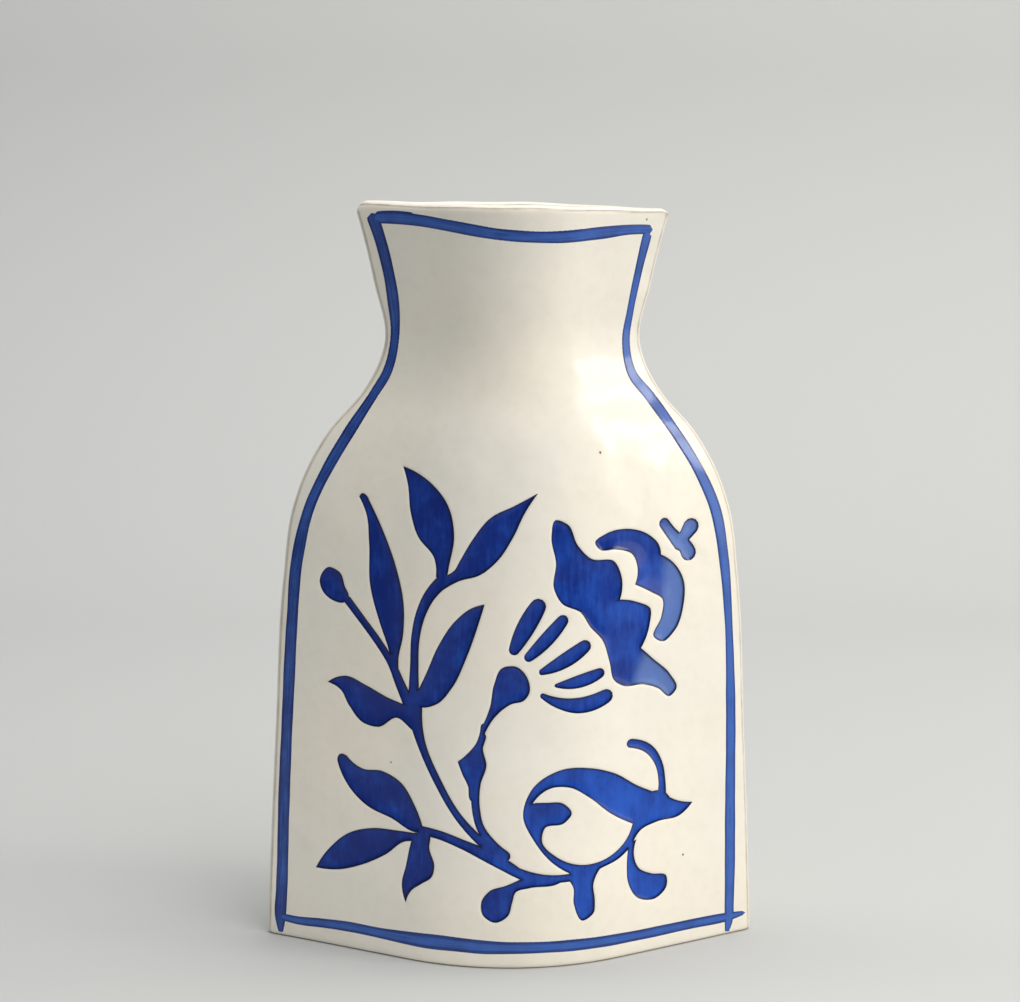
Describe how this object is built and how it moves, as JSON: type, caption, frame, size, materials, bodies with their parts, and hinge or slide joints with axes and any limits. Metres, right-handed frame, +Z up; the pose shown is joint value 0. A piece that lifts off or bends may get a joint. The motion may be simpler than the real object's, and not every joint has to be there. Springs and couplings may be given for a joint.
{
  "type": "slab-built pottery vase",
  "caption": "Slab-built flat bottle vase with sharp side seams, a flared neck, cream glaze, a carved cobalt leaf motif and brushed cobalt borders.",
  "frame": {"origin": "middle of the foot, on the surface that the vase stands on", "axes": "+Z up; -Y towards the carved face; +X to the right of someone who looks at the carved face"},
  "size_m": [0.134, 0.0624, 0.2],
  "materials": {
    "cream_glaze": "glossy tin glaze over pale clay, thin and pinkish where it breaks over edges",
    "cobalt_pool": "glossy cobalt glaze pooled in the carved motif, darker where it is deep",
    "cobalt_brush": "glossy brushed cobalt, streaky along the stroke"
  },
  "bodies": {
    "root": {"front_slab": "cream_glaze", "back_slab": "cream_glaze", "foot_slab": "cream_glaze", "seam_coil_left": "cream_glaze", "seam_coil_right": "cream_glaze", "sprig": "cobalt_pool", "petal_1": "cobalt_pool", "petal_2": "cobalt_pool", "petal_3": "cobalt_pool", "petal_4": "cobalt_pool", "petal_5": "cobalt_pool", "tulip_petal": "cobalt_pool", "scalloped_petal": "cobalt_pool", "trefoil": "cobalt_pool", "front_border_left": "cobalt_brush", "front_border_right": "cobalt_brush", "front_border_top": "cobalt_brush", "front_border_foot": "cobalt_brush", "back_border_left": "cobalt_brush", "back_border_right": "cobalt_brush", "back_border_top": "cobalt_brush", "back_border_foot": "cobalt_brush"}
  },
  "joints": []
}
